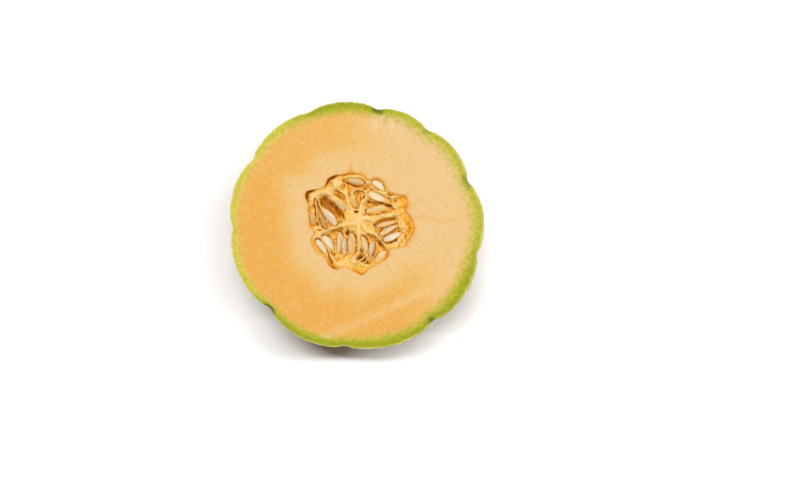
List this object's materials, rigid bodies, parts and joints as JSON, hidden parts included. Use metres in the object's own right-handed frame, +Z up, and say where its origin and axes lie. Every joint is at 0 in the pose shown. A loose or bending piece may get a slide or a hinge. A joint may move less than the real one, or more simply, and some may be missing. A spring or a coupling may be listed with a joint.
{
  "type": "cantaloupe melon half",
  "caption": "Half of a round ribbed and netted melon, cut straight across: green rind, orange flesh and a seed cavity with pulp walls and seeds, lying on its rounded end.",
  "frame": {"origin": "middle of the small flat spot on the rounded end that the half rests on", "axes": "+Z up, from the rounded end to the cut face; +X along the wider way across the cut face; +Y across it"},
  "size_m": [0.1444, 0.1408, 0.0744],
  "materials": {
    "rind": "melon rind: dull khaki skin with a pale corky net, smooth grey-green furrows, green on the cut",
    "flesh": "moist orange melon flesh with a satin cut face",
    "pulp": "wet, stringy orange-yellow pulp",
    "seeds": "wet cream seeds in a clear film"
  },
  "bodies": {
    "root": {"rind": "rind", "flesh": "flesh", "seed_pulp": "pulp", "seeds_right": "seeds", "seeds_upper_right": "seeds", "seeds_pocket": "seeds", "seeds_top": "seeds", "seeds_upper_left": "seeds", "seeds_left": "seeds", "seeds_lower_left": "seeds", "seeds_lower_right": "seeds"}
  },
  "joints": []
}
